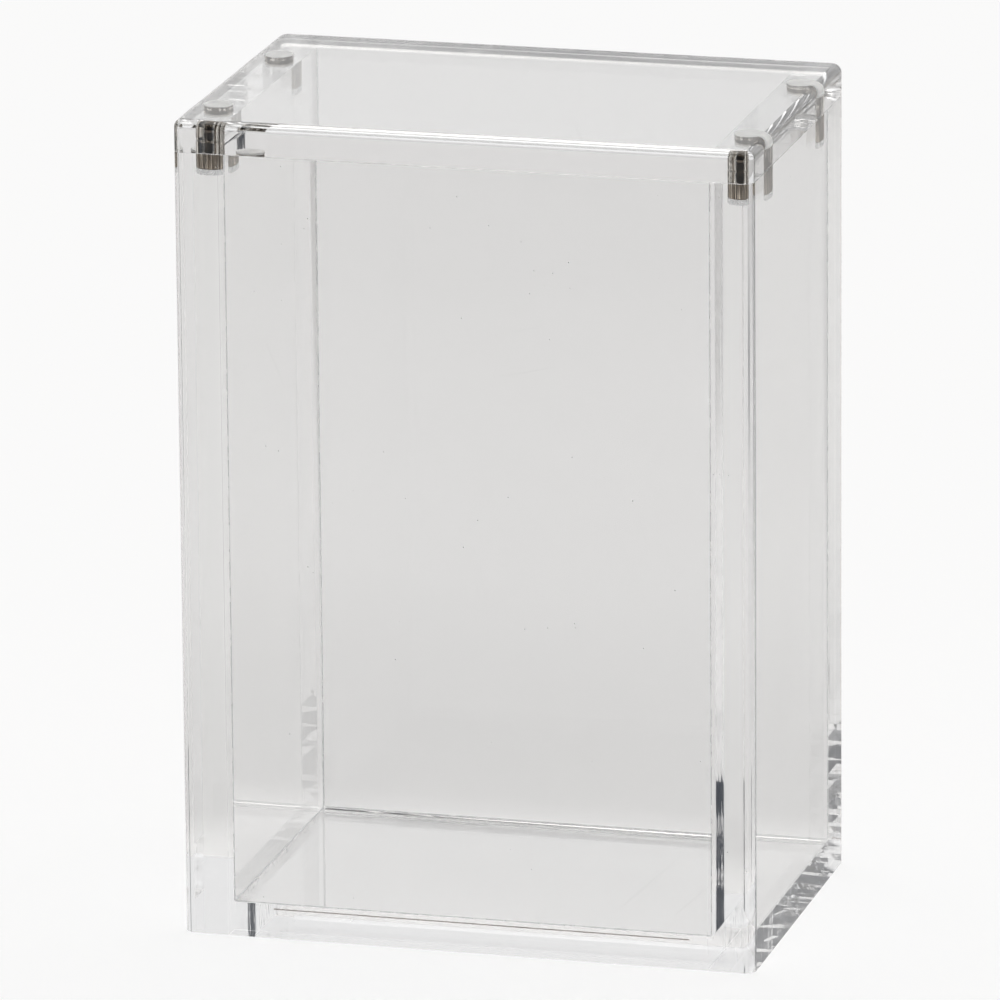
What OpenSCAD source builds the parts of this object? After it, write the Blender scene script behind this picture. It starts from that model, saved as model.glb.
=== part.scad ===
// Clear acrylic display case for a sealed box of trading cards.
// Four glued walls round an inset base plate make an open-topped case. A loose lid plate
// lies flush on the rims and is held by four pairs of disc magnets.
// X is the width, Y the depth (the front faces -Y), Z is up. The origin is on the surface
// that the case stands on, under its middle.

/* [Case] */
// Overall width over the side walls
case_w = 100; // [70:1:200]
// Overall depth over the front and rear walls
case_d = 66; // [50:1:150]
// Overall height from the foot to the top of the lid
case_h = 142.5; // [60:1:300]
// Radius of the rounded upright corners
corner_r = 2; // [0.5:0.1:3.5]

/* [Walls] */
// Thickness of the two side walls, which hold the magnets
side_t = 8; // [7:0.1:12]
// Thickness of the front wall
front_t = 5; // [3:0.1:8]
// Thickness of the rear wall
rear_t = 5; // [3:0.1:8]
// Thickness of the base plate, which lies between the walls
base_t = 5; // [3:0.1:10]

/* [Lid] */
// Thickness of the lid plate
lid_t = 5.5; // [4:0.1:10]
// Radius of the rounded edge all round the top of the lid
lid_edge_r = 1.5; // [0.3:0.1:1.8]
// Air gap between the underside of the lid and the rims of the walls
lid_gap = 0.1; // [0.05:0.01:0.3]

/* [Magnets] */
// Diameter of each disc magnet
magnet_d = 5; // [3:0.1:6]
// Height of each magnet in the lid
lid_magnet_h = 3; // [1:0.1:3.2]
// Height of each magnet in the rims of the side walls
wall_magnet_h = 4.7; // [1:0.1:10]
// From the front or rear face to the middle of the nearest magnet
magnet_inset = 14.5; // [8:0.5:20]
// Film of glue round each magnet
glue_t = 0.05; // [0.02:0.01:0.1]
// Bed of glue between a magnet in the lid and the floor of its pocket
lid_glue_bed = 0.4; // [0.1:0.1:0.6]
// Bed of glue between a magnet in a wall and the floor of its pocket
wall_glue_bed = 1; // [0.1:0.1:2]

/* [Hidden] */
$fn = 64;
LEFT = -1;
RIGHT = 1;
FRONT = -1;
REAR = 1;
half_w = case_w / 2;
half_d = case_d / 2;
inner_w = case_w - 2 * side_t;
rim_z = case_h - lid_t - lid_gap;
lid_z = case_h - lid_t;
// The rounded edge has to turn inside the rounded corner
edge_r = min(lid_edge_r, corner_r - 0.2);
magnet_x = half_w - side_t / 2;
magnet_y = half_d - magnet_inset;
pocket_d = magnet_d + 2 * glue_t;
lid_pocket_h = lid_magnet_h + lid_glue_bed;
wall_pocket_h = wall_magnet_h + wall_glue_bed;
// How far a cut runs past the face that it opens
cut_over = 1;

// Outline of the whole case seen from above
module case_outline() {
    circle_x = half_w - corner_r;
    circle_y = half_d - corner_r;
    union() {
        square([case_w, case_d - 2 * corner_r], center = true);
        square([case_w - 2 * corner_r, case_d], center = true);
        for (side = [LEFT, RIGHT], end = [FRONT, REAR])
            translate([side * circle_x, end * circle_y])
                circle(r = corner_r);
    }
}

// A plate between two heights, cut from the outline of the case
module case_slab(low_z, high_z) {
    translate([0, 0, low_z])
        linear_extrude(height = high_z - low_z)
            case_outline();
}

// A box from its lowest corner to its highest
module block(low, high) {
    translate(low)
        cube(high - low);
}

// Base plate, glued in between the four walls, its underside level with their feet
module base_plate() {
    color("gainsboro")
        block([-inner_w / 2, -half_d + front_t, 0], [inner_w / 2, half_d - rear_t, base_t]);
}

// A wall between the side walls, from one face of the case inwards
module cross_wall(low_y, high_y) {
    block([-inner_w / 2, low_y, 0], [inner_w / 2, high_y, rim_z]);
}

module front_wall() {
    color("lightgray")
        cross_wall(-half_d, -half_d + front_t);
}

module rear_wall() {
    color("lightgray")
        cross_wall(half_d - rear_t, half_d);
}

// Thick side wall over the whole depth, with the two rounded corners and two pockets in its rim
module side_wall(side) {
    low_x = side == LEFT ? -half_w - cut_over : inner_w / 2;
    high_x = side == LEFT ? -inner_w / 2 : half_w + cut_over;
    difference() {
        intersection() {
            case_slab(0, rim_z);
            block([low_x, -half_d - cut_over, -cut_over], [high_x, half_d + cut_over, rim_z + cut_over]);
        }
        for (end = [FRONT, REAR])
            translate([side * magnet_x, end * magnet_y, rim_z - wall_pocket_h])
                cylinder(d = pocket_d, h = wall_pocket_h + cut_over);
    }
}

module left_wall() {
    color("silver")
        side_wall(LEFT);
}

module right_wall() {
    color("silver")
        side_wall(RIGHT);
}

// Section through the rim of the lid, as wide as the corner's radius, its top edge rounded
module lid_rim_section() {
    flat_w = corner_r - edge_r;
    union() {
        square([corner_r, lid_t - edge_r]);
        square([flat_w, lid_t]);
        translate([flat_w, lid_t - edge_r])
            intersection() {
                circle(r = edge_r);
                square(edge_r);
            }
    }
}

// The rim section run along one side of the lid, at a distance from the middle
module lid_rim(turn, from_middle, length) {
    rotate([0, 0, turn])
        translate([from_middle - corner_r, 0, lid_z])
            rotate([90, 0, 0])
                linear_extrude(height = length, center = true)
                    lid_rim_section();
}

// Plate with the outline of the case and a rounded edge all round its top
module lid_plate() {
    circle_x = half_w - corner_r;
    circle_y = half_d - corner_r;
    union() {
        block([-circle_x, -circle_y, lid_z], [circle_x, circle_y, case_h]);
        lid_rim(0, half_w, 2 * circle_y);
        lid_rim(90, half_d, 2 * circle_x);
        lid_rim(180, half_w, 2 * circle_y);
        lid_rim(270, half_d, 2 * circle_x);
        for (corner = [[RIGHT, REAR, 0], [LEFT, REAR, 90], [LEFT, FRONT, 180], [RIGHT, FRONT, 270]])
            translate([corner[0] * circle_x, corner[1] * circle_y, lid_z])
                rotate([0, 0, corner[2]])
                    rotate_extrude(angle = 90)
                        lid_rim_section();
    }
}

// Lid with a blind pocket over each wall magnet
module lid() {
    color("whitesmoke")
        difference() {
            lid_plate();
            for (side = [LEFT, RIGHT], end = [FRONT, REAR])
                translate([side * magnet_x, end * magnet_y, lid_z - cut_over])
                    cylinder(d = pocket_d, h = lid_pocket_h + cut_over);
        }
}

// Disc magnet from a height upwards, near one corner of the case
module magnet(side, end, low_z, height) {
    color("dimgray")
        translate([side * magnet_x, end * magnet_y, low_z])
            cylinder(d = magnet_d, h = height);
}

// Magnet in the lid, level with its underside
module lid_magnet(side, end) {
    magnet(side, end, lid_z, lid_magnet_h);
}

// Magnet in a side wall, level with its rim
module wall_magnet(side, end) {
    magnet(side, end, rim_z - wall_magnet_h, wall_magnet_h);
}

base_plate();
front_wall();
rear_wall();
left_wall();
right_wall();
lid();
lid_magnet(LEFT, FRONT);  // lid_magnet_front_left
lid_magnet(RIGHT, FRONT);  // lid_magnet_front_right
lid_magnet(LEFT, REAR);  // lid_magnet_rear_left
lid_magnet(RIGHT, REAR);  // lid_magnet_rear_right
wall_magnet(LEFT, FRONT);  // wall_magnet_front_left
wall_magnet(RIGHT, FRONT);  // wall_magnet_front_right
wall_magnet(LEFT, REAR);  // wall_magnet_rear_left
wall_magnet(RIGHT, REAR);  // wall_magnet_rear_right
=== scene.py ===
# %% [markdown]
# # A clear acrylic display case
#
# The case is six plates of clear acrylic. Four walls and a base are glued into an open box,
# and a loose plate lies on top as its lid, held by eight small disc magnets. The CAD model
# gives every plate and magnet at its true size, so this script adds what a camera sees:
# the clear plastic with its glued seams, the worn nickel, the cloudy glue in the magnets'
# pockets, and a small studio.

# %% Load the frame
import math

import bpy
from mathutils import Matrix, Vector


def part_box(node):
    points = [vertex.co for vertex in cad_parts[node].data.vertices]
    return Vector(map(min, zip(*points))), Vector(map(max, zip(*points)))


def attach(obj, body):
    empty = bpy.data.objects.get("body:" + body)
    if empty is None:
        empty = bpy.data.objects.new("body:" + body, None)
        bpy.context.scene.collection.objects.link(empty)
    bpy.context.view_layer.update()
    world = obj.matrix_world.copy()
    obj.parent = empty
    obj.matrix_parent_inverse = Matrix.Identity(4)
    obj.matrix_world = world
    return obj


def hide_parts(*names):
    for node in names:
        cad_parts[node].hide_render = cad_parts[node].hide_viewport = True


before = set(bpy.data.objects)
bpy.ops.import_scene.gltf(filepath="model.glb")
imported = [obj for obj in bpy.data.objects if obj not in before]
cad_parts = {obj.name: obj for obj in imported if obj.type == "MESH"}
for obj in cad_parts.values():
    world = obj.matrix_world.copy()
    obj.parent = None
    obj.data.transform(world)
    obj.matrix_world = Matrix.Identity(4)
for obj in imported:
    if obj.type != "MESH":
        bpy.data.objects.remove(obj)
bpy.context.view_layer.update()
print("nodes:", sorted(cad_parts))

# %% [markdown]
# ## Sizes
#
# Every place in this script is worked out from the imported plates, so that a seam in a
# material falls exactly on the seam in the model. Lengths are in metres. The gaps that the
# model leaves for glue are the only sizes that are written here again.

# %% Measure the plates
MM = 0.001
GLUE_FILM = 0.05 * MM
LID_GLUE_BED = 0.4 * MM
WALL_GLUE_BED = 1.0 * MM
base_low, base_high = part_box("base_plate")
lid_low, lid_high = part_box("lid")
right_low, right_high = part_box("right_wall")
lid_magnet_low, lid_magnet_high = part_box("lid_magnet_front_left")
wall_magnet_low, wall_magnet_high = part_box("wall_magnet_front_left")

seam_x = base_high.x
seam_y = base_high.y
base_top = base_high.z
rim = right_high.z
lid_bottom = lid_low.z
magnet_x = -(wall_magnet_low.x + wall_magnet_high.x) / 2
magnet_y = -(wall_magnet_low.y + wall_magnet_high.y) / 2
magnet_radius = (wall_magnet_high.x - wall_magnet_low.x) / 2
print("case", [round(2 * v, 4) for v in lid_high.xy], "by", round(lid_high.z, 4))
print("seams at", seam_x, seam_y, base_top)
print("magnets at", magnet_x, magnet_y, "radius", magnet_radius)

# %% [markdown]
# ## Writing shader maths
#
# A material's nodes are easier to read as sums. This class wraps one socket, and an
# operator on it adds a Math node. Its `node` method makes every other kind of node.

# %% A socket that can be used in a sum
class Wire:
    def __init__(self, tree, socket=None):
        self.tree = tree
        self.socket = socket

    def node(self, kind, settings=None, inputs=None, output=0):
        """A new node: its settings first, then the values or links of its sockets."""
        made = self.tree.nodes.new(kind)
        for name, value in (settings or {}).items():
            setattr(made, name, value)
        for name, value in (inputs or {}).items():
            if isinstance(value, Wire):
                self.tree.links.new(value.socket, made.inputs[name])
            else:
                made.inputs[name].default_value = value
        return Wire(self.tree, made.outputs[output] if made.outputs else None)

    def maths(self, operation, *values):
        return self.node("ShaderNodeMath", {"operation": operation}, dict(enumerate(values)))

    def __add__(self, other): return self.maths("ADD", self, other)
    def __radd__(self, other): return self.maths("ADD", other, self)
    def __sub__(self, other): return self.maths("SUBTRACT", self, other)
    def __rsub__(self, other): return self.maths("SUBTRACT", other, self)
    def __mul__(self, other): return self.maths("MULTIPLY", self, other)
    def __rmul__(self, other): return self.maths("MULTIPLY", other, self)
    def __pow__(self, other): return self.maths("POWER", self, other)
    def __lt__(self, other): return self.maths("LESS_THAN", self, other)
    def __gt__(self, other): return self.maths("GREATER_THAN", self, other)
    def __abs__(self): return self.maths("ABSOLUTE", self)
    def __or__(self, other): return self.maths("MAXIMUM", self, other)
    def __and__(self, other): return self.maths("MINIMUM", self, other)

    def ramp(self, low, high):
        """0 below low, 1 above high and a smooth step between them."""
        return self.node("ShaderNodeMapRange", {"interpolation_type": "SMOOTHSTEP"},
                         {"Value": self, "From Min": low, "From Max": high})

    def blend(self, first, second):
        """The first colour where this is 0 and the second where it is 1."""
        return self.node("ShaderNodeMix", {"data_type": "RGBA"},
                         {"Factor": self, 6: first, 7: second}, 2)

    def split(self):
        """The x, y and z of a vector."""
        made = self.node("ShaderNodeSeparateXYZ", None, {0: self}).socket.node
        return [Wire(self.tree, socket) for socket in made.outputs]


print("a sum is made of nodes")


# %% Starting and finishing a material
def new_material(name):
    material = bpy.data.materials.new(name)
    material.use_nodes = True
    material.node_tree.nodes.clear()
    return material, Wire(material.node_tree)


def finish_material(wire, shader):
    wire.node("ShaderNodeOutputMaterial", None, {"Surface": shader})


def mixed(wire, share, first, second):
    """The first shader where the share is 0 and the second where it is 1."""
    return wire.node("ShaderNodeMixShader", None, {0: share, 1: first, 2: second})


def place_of(wire):
    return wire.node("ShaderNodeTexCoord", None, None, "Object")


print("material helpers ready")

# %% [markdown]
# ## Camera
#
# The camera's place, tilt and lens come from a fit of the case's edges to the picture,
# which was taken from the front, a little to the right and from above, with a long lens.

# %% Set up the camera
AZIMUTH, ELEVATION, ROLL = 15.0824, 15.6619, -0.477
FOCAL_PIXELS = 11187.07
PICTURE_PIXELS = 1000
SENSOR_WIDTH = 36.0
DISTANCE = 1.90787
FARTHEST_SEEN = 100
AIM = Vector((0, 0, 0.071))
AIM_RIGHT, AIM_UP = -0.0023854, -0.0002888

azimuth, elevation, roll = (math.radians(a) for a in (AZIMUTH, ELEVATION, ROLL))
forward = Vector((-math.sin(azimuth) * math.cos(elevation),
                  math.cos(azimuth) * math.cos(elevation), -math.sin(elevation)))
level = Vector((math.cos(azimuth), math.sin(azimuth), 0))
upright = level.cross(forward)
camera_right = math.cos(roll) * level + math.sin(roll) * upright
camera_up = math.cos(roll) * upright - math.sin(roll) * level
camera_data = bpy.data.cameras.new("camera")
camera_data.sensor_width = SENSOR_WIDTH
camera_data.lens = FOCAL_PIXELS * SENSOR_WIDTH / PICTURE_PIXELS
camera_data.clip_end = FARTHEST_SEEN
camera = bpy.data.objects.new("camera", camera_data)
bpy.context.collection.objects.link(camera)
stand = Matrix((camera_right, camera_up, -forward)).transposed().to_4x4()
stand.translation = AIM + AIM_RIGHT * camera_right + AIM_UP * camera_up - DISTANCE * forward
camera.matrix_world = stand
bpy.context.scene.camera = camera
bpy.context.scene.view_settings.view_transform = "Standard"
print("lens", round(camera_data.lens, 1), "mm at", [round(v, 3) for v in stand.translation])

# %% [markdown]
# ## Light paths
#
# Light is mirrored many times between the faces of a thick clear plate. A path that is cut
# short turns black, and so the seams and the rims would. The limits are raised until they
# no longer show. Filter Glossy blurs the light that clear plastic passes on and darkens
# the floor inside the case, so it is turned off.

# %% Let light run on inside the plates
PLATE_BOUNCES = 40
for limit in ("max_bounces", "transmission_bounces", "glossy_bounces", "transparent_max_bounces"):
    setattr(bpy.context.scene.cycles, limit, PLATE_BOUNCES)
bpy.context.scene.cycles.blur_glossy = 0
print("up to", PLATE_BOUNCES, "bounces")

# %% [markdown]
# ## Studio
#
# Clear plastic has no look of its own. It shows what is behind it and mirrors what is
# beside it, so its studio matters more than its colour. The case stands on a pale table
# under a broad soft light. The room behind the camera is left dark, because dark things
# are what draw the edges of clear plastic.
#
# To the camera the table is plain white and keeps the case's shadow. The rays that the
# plastic bends see painted light and shade instead: painted light under the rear of the case,
# painted shade behind it, a painted shadow of the case just behind it and clouds of painted
# shade, and grey towards its edges and on the right, as if the studio's own things stood
# there. The ceiling's light reaches lower behind the case than in front of it.

# %% The table
TABLE_SIZE = 6.0
TABLE_GAP = 0.03 * MM
TABLE_TONE = 0.93
# Strengths of the painted light under the rear, the painted shade behind the case, its painted
# shadow just behind it and the clouds of painted shade.
PAINTED_LIGHT_UNDER_REAR, PAINTED_SHADE_BEHIND, PAINTED_SHADOW_DEPTH, CLOUD_CONTRAST = 0.04, 0.09, 0.07, 0.06
TABLE_EDGE = (0.66, 0.657, 0.655, 1)
TABLE_RIGHT = (0.40, 0.405, 0.415, 1)
WHITE = (1, 1, 1, 1)
TABLE_GLOW_SHARE = 0.75

bpy.ops.object.select_all(action="DESELECT")
bpy.ops.mesh.primitive_plane_add(size=TABLE_SIZE, location=(0, 0, -TABLE_GAP))
table = bpy.context.object
table.name = "table"
table_material, wire = new_material("pale_table")
place = place_of(wire)
x, y, z = place.split()
cloud = wire.node("ShaderNodeTexNoise", None, {"Vector": place, "Scale": 5.0, "Detail": 2.0})
# Painted light and shade for the bent rays: brighter under the rear of the case, darker behind it,
# a deeper painted shadow just behind it, and clouds of painted shade.
under_rear = y.ramp(0, 0.028)
behind = y.ramp(0.036, 0.06)
painted_shadow_area = behind * (1 - y.ramp(0.10, 0.22))
painted_light_tone = (TABLE_TONE + PAINTED_LIGHT_UNDER_REAR * under_rear - PAINTED_SHADE_BEHIND * behind
        - PAINTED_SHADOW_DEPTH * painted_shadow_area + CLOUD_CONTRAST * (cloud - 0.5))
middle = (1 - abs(x).ramp(0.22, 0.34)) & y.ramp(-0.50, -0.38)
right_side = x.ramp(0.17, 0.26) & (1 - y.ramp(0.30, 0.45))
pale = right_side.blend(middle.blend(TABLE_EDGE, painted_light_tone), TABLE_RIGHT)
seen_through = wire.node("ShaderNodeBsdfDiffuse", None, {"Color": pale})
plain = wire.node("ShaderNodeBsdfDiffuse", None, {"Color": WHITE})
glow = wire.node("ShaderNodeEmission", None, {"Color": WHITE, "Strength": 1.0})
from_camera = wire.node("ShaderNodeLightPath", None, None, "Is Camera Ray")
white = mixed(wire, TABLE_GLOW_SHARE, plain, glow)
finish_material(wire, mixed(wire, from_camera, seen_through, white))
table.data.materials.append(table_material)
print("table", TABLE_SIZE, "m")

# %% The room's light
DARK_ROOM = (0.035, 0.042, 0.055, 1)
OVERHEAD = (1.77, 1.735, 1.69, 1)
BACKDROP_FOOT, BACKDROP_RISE = 0.83, 0.25

world = bpy.data.worlds.new("studio")
bpy.context.scene.world = world
world.use_nodes = True
world.node_tree.nodes.clear()
wire = Wire(world.node_tree)
east, north, height = wire.node("ShaderNodeTexCoord", None, None, "Generated").split()
behind_case = north.ramp(0.1, 0.5)
backdrop = BACKDROP_FOOT + BACKDROP_RISE * height.ramp(0.30, 0.50)
overhead = (height - 0.25 * abs(east) + 0.15 * north).ramp(0.66, 0.82)
colour = overhead.blend(behind_case.blend(DARK_ROOM, backdrop), OVERHEAD)
room = wire.node("ShaderNodeBackground", None, {"Color": colour, "Strength": 1.0})
blank = wire.node("ShaderNodeBackground", None, {"Color": WHITE, "Strength": 1.0})
from_camera = wire.node("ShaderNodeLightPath", None, None, "Is Camera Ray")
wire.node("ShaderNodeOutputWorld", None, {"Surface": mixed(wire, from_camera, room, blank)})
print("room light ready")

# %% A soft lamp straight above
SOFTBOX_HEIGHT, SOFTBOX_SIZE, SOFTBOX_WATTS = 1.1, 1.2, 0.5

softbox_data = bpy.data.lights.new("softbox", "AREA")
softbox_data.size, softbox_data.energy = SOFTBOX_SIZE, SOFTBOX_WATTS
softbox = bpy.data.objects.new("softbox", softbox_data)
bpy.context.collection.objects.link(softbox)
softbox.location = (0, 0, SOFTBOX_HEIGHT)
print("softbox", SOFTBOX_WATTS, "W")

# %% [markdown]
# ## Clear acrylic
#
# Cast acrylic is as clear as glass and has an index of refraction of 1.49. Where two plates
# are glued, the cement has the same index, so light crosses the seam unbent. In the
# model the two plates only touch, so each plate's material turns to a Transparent shader
# on the faces that the cement wets, and the rays go straight on. The magnets' pockets are
# filled with glue and get the same treatment. Joining the plates into one mesh would do
# the same, but they are separate pieces, and so they stay.

# %% Where the cement is
SEAM = 0.02 * MM


def near(value, place):
    """1 within a hair of a plane, else 0."""
    return value.maths("COMPARE", value, place, SEAM)


def in_pocket(x, y, z, low, high):
    """1 on the wall and the floor of each magnet's pocket."""
    across = ((abs(x) - magnet_x) ** 2 + (abs(y) - magnet_y) ** 2) ** 0.5
    return (across < magnet_radius + GLUE_FILM + SEAM) & (z > low) & (z < high)


def base_seams(x, y, z):
    return (z > SEAM) & (z < base_top - SEAM)


def cross_wall_seams(x, y, z):
    ends = near(abs(x), seam_x)
    foot = near(abs(y), seam_y) & (z < base_top)
    return ends | foot


def side_wall_seams(x, y, z):
    inner_face = near(abs(x), seam_x)
    covered = (abs(y) > seam_y) | (z < base_top)
    pocket_floor = rim - wall_magnet_high.z + wall_magnet_low.z - WALL_GLUE_BED
    return (inner_face & covered) | in_pocket(x, y, z, pocket_floor - SEAM, rim - SEAM)


def lid_pockets(x, y, z):
    return in_pocket(x, y, z, lid_bottom + SEAM, lid_magnet_high.z + LID_GLUE_BED + SEAM)


print("seams ready")

# %% [markdown]
# ## Marks of handling
#
# A case that has been handled has a few dust specks and hairline scratches, and sheet
# plastic is never quite flat. The specks sit in some cells of a Voronoi pattern, and the
# scratches lie along some borders of a stretched one. Both only tint and dull the plastic.
# Two soft noises bend the light a little, as slow waves and polishing do.

# %% The marks on the acrylic
SPECK_CELLS, SPECK_SIZE, SPECKLESS_SHARE = 260.0, 0.032, 0.62
SCRATCH_STRETCH, SCRATCH_WIDTH = (14.0, 14.0, 90.0), 0.0014
SCRATCH_TURNS = ((0.3, 0.9, 0.2), (1.2, 0.2, 0.8))
PATCH_SCALE, SCRATCHED_ABOVE = 38.0, 0.60
SLOW_WAVES, FINE_WAVES, FINE_SHARE = 45.0, 420.0, 0.06


def smooth_noise(place, scale):
    return place.node("ShaderNodeTexNoise", None, {"Vector": place, "Scale": scale, "Detail": 0.0})


def stretched(place, turn, scale):
    """The place turned and scaled, for a pattern with a grain."""
    return place.node("ShaderNodeMapping", None, {0: place, "Rotation": turn, "Scale": scale})


def specks(place):
    """A few dust specks, each in its own cell of a 3-D Voronoi pattern."""
    cells = {"Vector": place, "Scale": SPECK_CELLS}
    distance = place.node("ShaderNodeTexVoronoi", None, cells, "Distance")
    chance = place.node("ShaderNodeTexVoronoi", None, cells, "Color")
    chance = chance.node("ShaderNodeSeparateColor", None, {0: chance})
    return (distance < SPECK_SIZE) & (chance > SPECKLESS_SHARE)


def hairlines(place, turn):
    """Long thin scratches, along some of the borders of a stretched Voronoi pattern."""
    along = stretched(place, turn, SCRATCH_STRETCH)
    border = place.node("ShaderNodeTexVoronoi", {"feature": "DISTANCE_TO_EDGE"},
                        {"Vector": along, "Scale": 1.0})
    return (border < SCRATCH_WIDTH) & (smooth_noise(place, PATCH_SCALE) > SCRATCHED_ABOVE)


def ripple(place):
    """The height of the plates' slow waves and of the finer ones that polishing leaves."""
    return smooth_noise(place, SLOW_WAVES) + FINE_SHARE * smooth_noise(place, FINE_WAVES)


print("marks ready")

# %% The acrylic itself
TINT = 0.985
INDEX = 1.49
SCRATCH_STRENGTH = 0.12
MARK_SHADE, MARK_ROUGHNESS = 0.35, 0.45
RIPPLE_HEIGHT = 0.012 * MM


def acrylic(name, cemented):
    """Clear plastic, with nothing to see on the faces that are cemented."""
    material, wire = new_material(name)
    place = place_of(wire)
    first, second = (hairlines(place, turn) for turn in SCRATCH_TURNS)
    marks = specks(place) | SCRATCH_STRENGTH * (first | second)
    clean = TINT - MARK_SHADE * marks
    colour = wire.node("ShaderNodeCombineColor", None, {0: clean, 1: clean, 2: clean})
    normal = wire.node("ShaderNodeBump", None,
                       {"Height": ripple(place), "Distance": RIPPLE_HEIGHT, "Strength": 1.0})
    plastic = wire.node("ShaderNodeBsdfPrincipled", None,
                        {"Base Color": colour, "Roughness": MARK_ROUGHNESS * marks,
                         "IOR": INDEX, "Transmission Weight": 1.0, "Normal": normal})
    clear = wire.node("ShaderNodeBsdfTransparent")
    finish_material(wire, mixed(wire, cemented(*place.split()), plastic, clear))
    print(name, len(wire.tree.nodes), "nodes")
    return material


plate_finishes = {
    "base_plate": acrylic("base_acrylic", base_seams),
    "front_wall": acrylic("cross_wall_acrylic", cross_wall_seams),
    "left_wall": acrylic("side_wall_acrylic", side_wall_seams),
    "lid": acrylic("lid_acrylic", lid_pockets),
}
plate_finishes["rear_wall"] = plate_finishes["front_wall"]
plate_finishes["right_wall"] = plate_finishes["left_wall"]

# %% [markdown]
# ## Small round pieces
#
# The magnets and their glue are short cylinders with rounded rims. Each is modelled once at
# the middle of the case by adding a cylinder and bevelling a rim in edit mode, and is then
# copied to its places. A copy gets a mesh of its own, with its place inside the mesh.

# %% Helpers for modelling
SMOOTH_BELOW = math.radians(30)
FIT = 0.01 * MM


def edit_edges(piece, wanted):
    """Go to edit mode with only the wanted edges of the piece selected."""
    bpy.ops.object.select_all(action="DESELECT")
    piece.select_set(True)
    bpy.context.view_layer.objects.active = piece
    bpy.ops.object.mode_set(mode="EDIT")
    bpy.ops.mesh.select_mode(type="EDGE")
    bpy.ops.mesh.select_all(action="DESELECT")
    bpy.ops.object.mode_set(mode="OBJECT")
    points = piece.data.vertices
    for edge in piece.data.edges:
        edge.select = wanted([piece.matrix_world @ points[i].co for i in edge.vertices])
    bpy.ops.object.mode_set(mode="EDIT")


def settle(piece):
    """Back to object mode, smooth, with the place in the mesh."""
    bpy.ops.object.mode_set(mode="OBJECT")
    bpy.ops.object.transform_apply(location=True, rotation=True, scale=True)
    bpy.ops.object.shade_smooth_by_angle(angle=SMOOTH_BELOW)


def copy_to(model, name, move):
    """A copy with its own mesh, moved inside the mesh."""
    piece = bpy.data.objects.new(name, model.data.copy())
    bpy.context.collection.objects.link(piece)
    piece.data.transform(Matrix.Translation(move))
    return piece


print("modelling helpers ready")

# %% A disc with a rounded rim
DISC_SIDES = 96
RIM_SEGMENTS = 4


def add_disc(name, radius, low, high, rounding, rims):
    """A short cylinder whose rims at the given heights are rounded."""
    bpy.ops.object.select_all(action="DESELECT")
    bpy.ops.mesh.primitive_cylinder_add(vertices=DISC_SIDES, radius=radius, depth=high - low,
                                        location=(0, 0, (low + high) / 2))
    disc = bpy.context.object
    disc.name = name
    edit_edges(disc, lambda ends: any(all(abs(end.z - height) < FIT for end in ends)
                                      for height in rims))
    bpy.ops.mesh.bevel(offset=rounding, segments=RIM_SEGMENTS)
    settle(disc)
    return disc


SIDES = (("left", -1), ("right", 1))
ENDS = (("front", -1), ("rear", 1))
CORNERS = [(end, side, x_sign * magnet_x, y_sign * magnet_y)
           for side, x_sign in SIDES for end, y_sign in ENDS]
print(len(CORNERS), "corners with a pair of magnets")

# %% [markdown]
# ## Magnets
#
# The magnets are nickel-plated discs with a rounded rim, which catches a line of light. The
# CAD discs have sharp rims, so each is replaced by a rounded one of the same size. The
# plating is smooth but not a mirror: it has upright streaks, and it looks dark where it
# mirrors the dark side of the room. The streaks' colours are partly grain and partly painted
# shade and highlight: the wall magnets' nickel is painted far darker than nickel is, as painted
# shade, and the lid's magnets get a lighter copy of it, as a painted highlight.

# %% Nickel
STREAK_STRETCH = (3200.0, 3200.0, 90.0)
STREAK_DEPTH = 0.05 * MM


def plating(name, dark, light):
    """Nickel with upright streaks between a dark and a light colour, partly grain and partly
    painted shade and highlight.
    """
    material, wire = new_material(name)
    drawn = stretched(place_of(wire), (0, 0, 0), STREAK_STRETCH)
    streak = wire.node("ShaderNodeTexNoise", None, {"Vector": drawn, "Scale": 1.0, "Detail": 3.0})
    normal = wire.node("ShaderNodeBump", None,
                       {"Height": streak, "Distance": STREAK_DEPTH, "Strength": 0.8})
    colour = streak.ramp(0.42, 0.64).blend(dark, light)
    finish_material(wire, wire.node("ShaderNodeBsdfPrincipled", None,
                                    {"Base Color": colour, "Metallic": 1.0,
                                     "Roughness": 0.06 + 0.12 * streak, "Normal": normal}))
    return material


# One nickel in two copies: the wall magnets' is painted darker, as painted shade, and the lid
# magnets' is painted lighter, as a painted highlight.
nickel_painted_shade = plating("nickel_painted_shade", (0.09, 0.068, 0.048, 1), (0.58, 0.52, 0.44, 1))
bright_nickel = plating("bright_nickel", (0.15, 0.12, 0.09, 1), (0.94, 0.91, 0.85, 1))
print("nickel ready")

# %% The magnets
MAGNET_RIM = 0.22 * MM

for node_name, low, high, material in (
        ("lid_magnet", lid_magnet_low.z, lid_magnet_high.z, bright_nickel),
        ("wall_magnet", wall_magnet_low.z, wall_magnet_high.z, nickel_painted_shade)):
    model = add_disc("disc", magnet_radius, low, high, MAGNET_RIM, (low, high))
    model.data.materials.append(material)
    for end, side, x_place, y_place in CORNERS:
        disc = copy_to(model, f"{node_name}_disc_{end}_{side}", (x_place, y_place, 0))
        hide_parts(f"{node_name}_{end}_{side}")
        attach(disc, "lid" if node_name == "lid_magnet" else "case")
    bpy.data.objects.remove(model)
print("eight magnets")

# %% [markdown]
# ## Glue beds
#
# Each magnet sits on a bed of glue at the bottom of its pocket. The glue has small bubbles,
# so the bed looks milky: a pale ring shows under each magnet in the walls. On each magnet in
# the lid it is a nearly solid white disc, partly glue and partly a painted highlight that
# stands for the magnet's top mirroring the ceiling's light. A bed is a short cylinder with one
# rounded rim. One of each height is modelled at the middle of the case, then copied to the
# four places.

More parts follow.
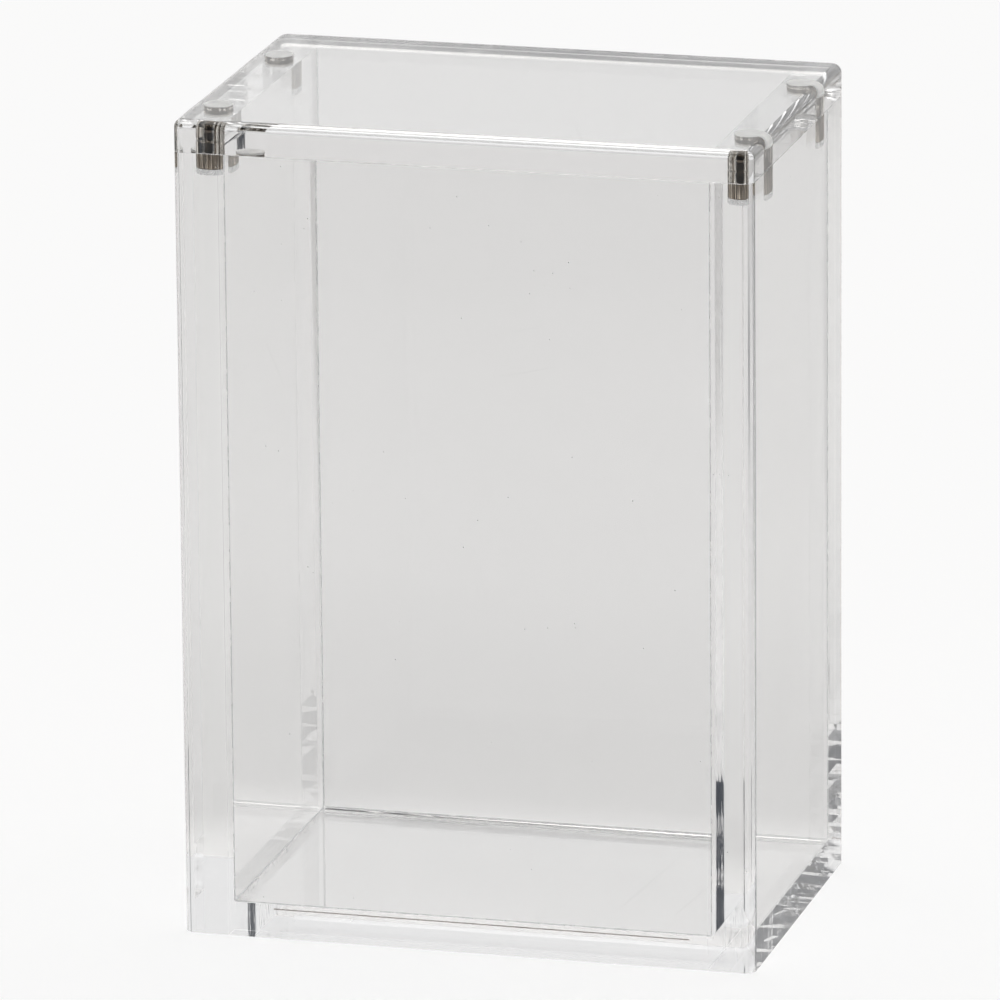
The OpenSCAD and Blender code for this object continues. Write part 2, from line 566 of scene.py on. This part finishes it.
# %% Milky glue
def milky(name, colour, thick, thin, scale):
    """Glue or cement with bubbles: part see-through and part pale and dull."""
    material, wire = new_material(name)
    bubbles = wire.node("ShaderNodeTexNoise", None,
                        {"Vector": place_of(wire), "Scale": scale, "Detail": 3.0})
    body = wire.node("ShaderNodeBsdfPrincipled", None,
                     {"Base Color": colour, "Roughness": 0.35 + 0.3 * bubbles,
                      "IOR": INDEX})
    clear = wire.node("ShaderNodeBsdfTransparent")
    share = thin + (thick - thin) * bubbles.ramp(0.35, 0.65)
    finish_material(wire, mixed(wire, share, clear, body))
    return material


wall_glue = milky("milky_glue", (0.80, 0.83, 0.84, 1), 0.42, 0.15, 900.0)
# The lid's white glue is partly glue and partly a painted highlight, standing for the magnets'
# tops mirroring the ceiling's light.
lid_glue_painted_highlight = milky("white_glue", (0.98, 0.98, 0.96, 1), 1.0, 0.90, 700.0)
print("glue ready")

# %% The beds
WALL_BED_RIM = 0.3 * MM
LID_BED_RIM = 0.2 * MM

bed_radius = magnet_radius + GLUE_FILM - FIT
wall_bed_low = wall_magnet_low.z - WALL_GLUE_BED + FIT
lid_bed_high = lid_magnet_high.z + LID_GLUE_BED - FIT
wall_bed = add_disc("wall_bed", bed_radius, wall_bed_low, wall_magnet_low.z - FIT,
                    WALL_BED_RIM, (wall_bed_low,))
lid_bed = add_disc("lid_bed", bed_radius, lid_magnet_high.z + FIT, lid_bed_high,
                   LID_BED_RIM, (lid_bed_high,))
for model, body, slot, material in ((wall_bed, "case", "acrylic", wall_glue),
                                    (lid_bed, "lid", "acrylic_lid", lid_glue_painted_highlight)):
    model.data.materials.append(material)
    for end, side, x_place, y_place in CORNERS:
        bed = copy_to(model, f"{model.name}_{end}_{side}", (x_place, y_place, 0))
        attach(bed, body)
    bpy.data.objects.remove(model)
print("eight glue beds")

# %% [markdown]
# ## Cement
#
# The walls and the base are joined with a thin solvent cement. A little of it is pressed out
# into each inside corner, where it dries as a fine line, and a bead of it shows in the front
# joint of the base. Each line is a cube stretched to a thin bar, with its edges bevelled,
# because a line that is only drawn in a material would be lost in the exported mesh.

# %% A thin bar
BAR_SEGMENTS = 2


def add_bar(name, low, high, material, rounding):
    """A thin bar between two corners, with its edges rounded."""
    bpy.ops.object.select_all(action="DESELECT")
    middle = [(a + b) / 2 for a, b in zip(low, high)]
    bpy.ops.mesh.primitive_cube_add(size=1, location=middle)
    bar = bpy.context.object
    bar.name = name
    bar.scale = [b - a for a, b in zip(low, high)]
    bpy.ops.object.transform_apply(location=False, rotation=False, scale=True)
    edit_edges(bar, lambda ends: True)
    bpy.ops.mesh.bevel(offset=rounding, segments=BAR_SEGMENTS)
    settle(bar)
    bar.data.materials.append(material)
    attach(bar, "case")


def inside_of(seam, sign, reach):
    """From just inside a seam on one side of the case, this far in, lowest first."""
    return sorted((sign * (seam - FIT), sign * (seam - reach)))


print("bars are ready to be placed")

# %% Cement lines
LINE = 0.22 * MM
LINE_ROUNDING = 0.4 * LINE

cement = milky("dry_cement", (0.76, 0.77, 0.79, 1), 0.48, 0.18, 400.0)
foot_cement = milky("milky_cement", (0.52, 0.46, 0.43, 1), 0.75, 0.45, 500.0)
foot_low, foot_high = base_top + FIT, base_top + LINE
for side, x_sign in SIDES:
    x_low, x_high = inside_of(seam_x, x_sign, LINE)
    for end, y_sign in ENDS:
        y_low, y_high = inside_of(seam_y, y_sign, LINE)
        add_bar(f"cement_corner_{end}_{side}", (x_low, y_low, foot_high),
                (x_high, y_high, rim - LINE), cement, LINE_ROUNDING)
    add_bar(f"cement_foot_{side}", (x_low, -seam_y + LINE, foot_low),
            (x_high, seam_y - LINE, foot_high), cement, LINE_ROUNDING)
for end, y_sign in ENDS:
    y_low, y_high = inside_of(seam_y, y_sign, LINE)
    add_bar(f"cement_foot_{end}", (-seam_x + LINE, y_low, foot_low),
            (seam_x - LINE, y_high, foot_high), cement, LINE_ROUNDING)
print("eight cement lines")

# %% The bead in the front joint
BEAD_HEIGHT, BEAD_HALF_WIDTH = 4.15 * MM, 0.12 * MM
BEAD_FROM_LEFT, BEAD_FROM_RIGHT = 7 * MM, 4 * MM
BEAD_FRONT, BEAD_BACK = -seam_y + 0.05 * MM, -seam_y + 0.09 * MM
BEAD_ROUNDING = 0.012 * MM

add_bar("cement_bead", (-seam_x + BEAD_FROM_LEFT, BEAD_FRONT, BEAD_HEIGHT - BEAD_HALF_WIDTH),
        (seam_x - BEAD_FROM_RIGHT, BEAD_BACK, BEAD_HEIGHT + BEAD_HALF_WIDTH),
        foot_cement, BEAD_ROUNDING)
print("one bead")

# %% [markdown]
# ## Air in the joints
#
# The cement has not filled every saw mark, so thin stripes of air stay in the base's joints.
# Light that runs along inside the plastic is mirrored by them, and they show as pale bars
# between the dark ones at the foot of the right wall. A groove in the plates would need cut
# meshes, so the stripes are drawn by the material of a thin film in each joint. Light that
# leaves the plastic for air bends the other way, so the film has the inverse index.

# %% What the air looks like
AIR_HEIGHTS = (1.25 * MM, 3.75 * MM)
BAR_INSIDE, BAR_OUTSIDE, BAR_WANDER = 0.52 * MM, 0.60 * MM, 0.12 * MM
ARC_STRETCH, ARC_WIDTH, ARC_STRENGTH = (1.0, 620.0, 90.0), 0.018, 0.5


def air_film(name, share_of):
    """Clear, with a share of air that is worked out from the place."""
    material, wire = new_material(name)
    place = place_of(wire)
    patchy = wire.node("ShaderNodeTexNoise", None,
                       {"Vector": place, "Scale": 260.0, "Detail": 2.0})
    air = wire.node("ShaderNodeBsdfGlass", None,
                    {"Color": WHITE, "Roughness": 0.0, "IOR": 1 / INDEX})
    clear = wire.node("ShaderNodeBsdfTransparent")
    finish_material(wire, mixed(wire, share_of(place, patchy), clear, air))
    return material


def level_bars(place, patchy):
    """Bars along the joint, with an edge that wanders a little."""
    z = place.split()[2]
    low, high = (abs(z - height + BAR_WANDER * (patchy - 0.5)) for height in AIR_HEIGHTS)
    return 1 - (low & high).ramp(BAR_INSIDE, BAR_OUTSIDE)


def fine_arcs(place, patchy):
    """Fine steep curves, as a saw leaves them."""
    marks = stretched(place, (0, 0, 0), ARC_STRETCH)
    arc = place.node("ShaderNodeTexNoise", None, {"Vector": marks, "Scale": 1.0, "Detail": 1.0})
    return ARC_STRENGTH * (abs(arc - 0.5) < ARC_WIDTH) * patchy.ramp(0.30, 0.50)


barred = air_film("air_bars", level_bars)
sawn = air_film("air_in_saw_marks", fine_arcs)
print("air ready")

# %% Films in the base's joints
FILM = 0.02 * MM
FILM_ROUNDING = 0.3 * FILM

for side, x_sign in SIDES:
    x_low, x_high = inside_of(seam_x, x_sign, FIT + FILM)
    add_bar(f"joint_film_{side}", (x_low, -seam_y + FIT, FIT),
            (x_high, seam_y - FIT, base_top - FIT), sawn, FILM_ROUNDING)
y_low, y_high = inside_of(seam_y, 1, FIT + FILM)
add_bar("joint_film_rear", (-seam_x + LINE, y_low, FIT),
        (seam_x - LINE, y_high, base_top - FIT), barred, FILM_ROUNDING)
print("three joint films")

# %% [markdown]
# ## Finish
#
# The plates keep their CAD meshes and only get their acrylic. The rounded magnets stand for
# the CAD ones, which are hidden and get the nickel too, so that no node lacks a finish.

# %% Give each plate and magnet its finish
for name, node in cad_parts.items():
    node.data.materials.clear()
    node.data.materials.append(plate_finishes.get(name, nickel_painted_shade))
print("finished", len(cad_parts), "nodes")
